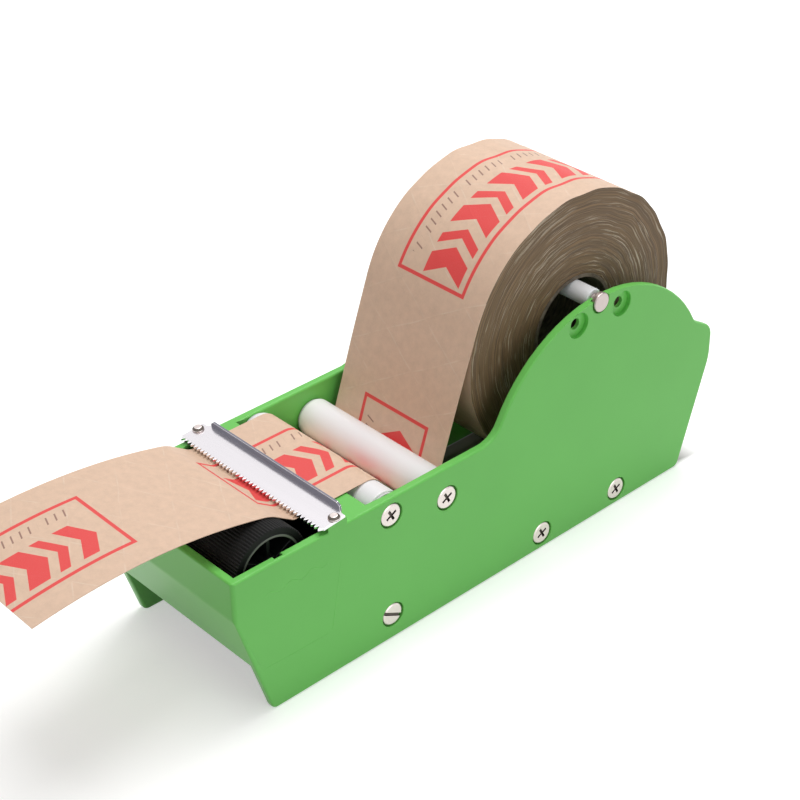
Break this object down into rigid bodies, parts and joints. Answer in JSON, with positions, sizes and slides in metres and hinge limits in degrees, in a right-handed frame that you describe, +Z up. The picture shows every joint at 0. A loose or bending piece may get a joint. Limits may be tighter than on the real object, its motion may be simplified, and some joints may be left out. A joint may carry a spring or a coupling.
{
  "type": "gummed tape dispenser",
  "caption": "Counter dispenser for gummed paper tape: open body, roll on a lift-out spindle, guide rollers, toothed blade and a wetting wheel in a water tank.",
  "frame": {"origin": "on the counter, under the middle of the whole length, tape included, midway between the side walls", "axes": "+Z up, -Y towards the tape outlet at the front, +X towards the side wall that faces the viewer"},
  "size_m": [0.1034, 0.403, 0.1786],
  "materials": {
    "body_green": "gloss",
    "tank_black": "satin",
    "wheel_plastic": "satin",
    "wheel_rubber": "matte",
    "axle_steel": "satin",
    "blade_steel": "satin",
    "screw_steel": "gloss",
    "roller_white": "gloss",
    "bush_plastic": "matte",
    "rod_steel": "satin",
    "spindle_steel": "gloss",
    "sleeve_white": "gloss",
    "core_board": "matte",
    "roll_paper": "matte",
    "tape_paper": "satin"
  },
  "bodies": {
    "frame": {"body_shell": "body_green", "water_tank": "tank_black", "wheel_axle": "axle_steel", "cutter_blade": "blade_steel", "blade_screws": "screw_steel", "front_roller_shaft": "rod_steel", "rear_roller_shaft": "rod_steel", "roller_screws": "screw_steel", "front_tie_rod": "rod_steel", "middle_tie_rod": "rod_steel", "rear_tie_rod": "rod_steel", "front_tie_screws": "screw_steel", "rear_tie_screws": "screw_steel", "tape_web": "tape_paper", "tape_strip": "tape_paper"},
    "spindle": {"spindle_pin": "spindle_steel", "spindle_heads": "spindle_steel"},
    "sleeve": {"spindle_sleeve": "sleeve_white"},
    "roll": {"roll_core": "core_board", "tape_roll": "roll_paper"},
    "front_guide": {"front_roller": "roller_white", "front_roller_bushes": "bush_plastic"},
    "rear_guide": {"rear_roller": "roller_white", "rear_roller_bushes": "bush_plastic"},
    "wheel": {"wheel_hub": "wheel_plastic", "wheel_tread": "wheel_rubber"}
  },
  "joints": [
    {"name": "spindle_lift", "type": "slide", "parent": "frame", "child": "spindle", "axis": [0, 0, 1], "range_m": [0, 0.025], "deforming": ["tape_web"]},
    {"name": "roll_spin", "type": "hinge", "parent": "spindle", "child": "roll", "pos_m": [0, 0.113, 0.1081], "axis": [1, 0, 0], "continuous": true},
    {"name": "sleeve_spin", "type": "hinge", "parent": "spindle", "child": "sleeve", "pos_m": [0, 0.113, 0.1277], "axis": [1, 0, 0], "continuous": true},
    {"name": "front_roller_spin", "type": "hinge", "parent": "frame", "child": "front_guide", "pos_m": [0, -0.0236, 0.071], "axis": [1, 0, 0], "continuous": true},
    {"name": "rear_roller_spin", "type": "hinge", "parent": "frame", "child": "rear_guide", "pos_m": [0, 0.0114, 0.0634], "axis": [1, 0, 0], "continuous": true},
    {"name": "wheel_spin", "type": "hinge", "parent": "frame", "child": "wheel", "pos_m": [0, -0.0875, 0.071], "axis": [1, 0, 0], "continuous": true}
  ],
  "couplings": [
    {"joint": "sleeve_spin", "follows": "roll_spin", "ratio": 4.96},
    {"joint": "front_roller_spin", "follows": "roll_spin", "ratio": 7.05},
    {"joint": "rear_roller_spin", "follows": "roll_spin", "ratio": -7.05},
    {"joint": "wheel_spin", "follows": "roll_spin", "ratio": 3.525}
  ]
}
